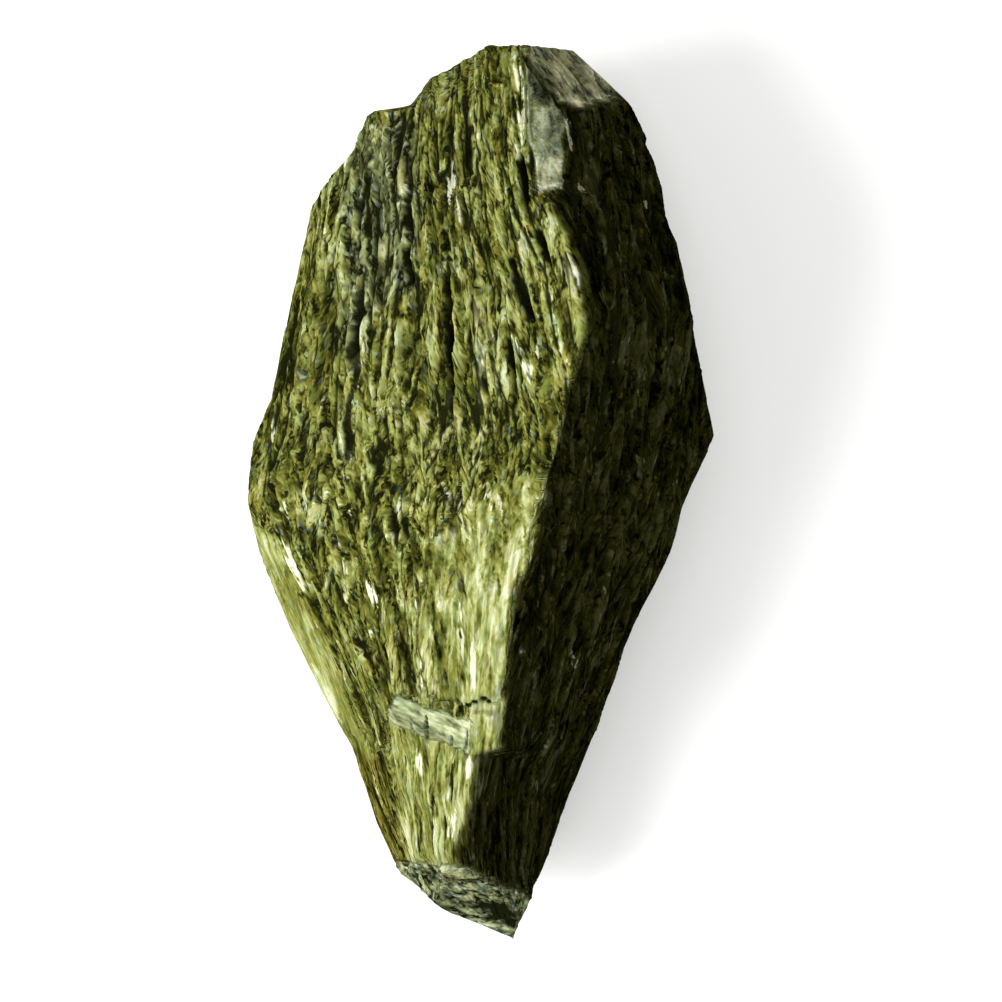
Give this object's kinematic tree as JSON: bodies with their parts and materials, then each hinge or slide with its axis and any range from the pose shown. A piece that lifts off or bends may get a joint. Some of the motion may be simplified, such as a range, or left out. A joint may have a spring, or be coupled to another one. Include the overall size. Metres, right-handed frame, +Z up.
{
  "type": "rough tourmaline crystal",
  "caption": "Rough, splintery fragment of a long striated prism, blunt at one end and narrow at the other, lying on a flat natural face.",
  "frame": {"origin": "on the surface that the stone lies on, under the middle of its outline", "axes": "+Y along the crystal's long axis, from the narrow end to the blunt end; +X across it; +Z up, away from the flat back face"},
  "size_m": [0.0314, 0.06, 0.0273],
  "materials": {
    "tourmaline": "Rough natural crystal, fibrous along its length: bright yellow-green splinters over near-black green gaps, vitreous glints on fresh faces and pale broken ends."
  },
  "bodies": {
    "root": {"tourmaline_crystal": "tourmaline"}
  },
  "joints": []
}
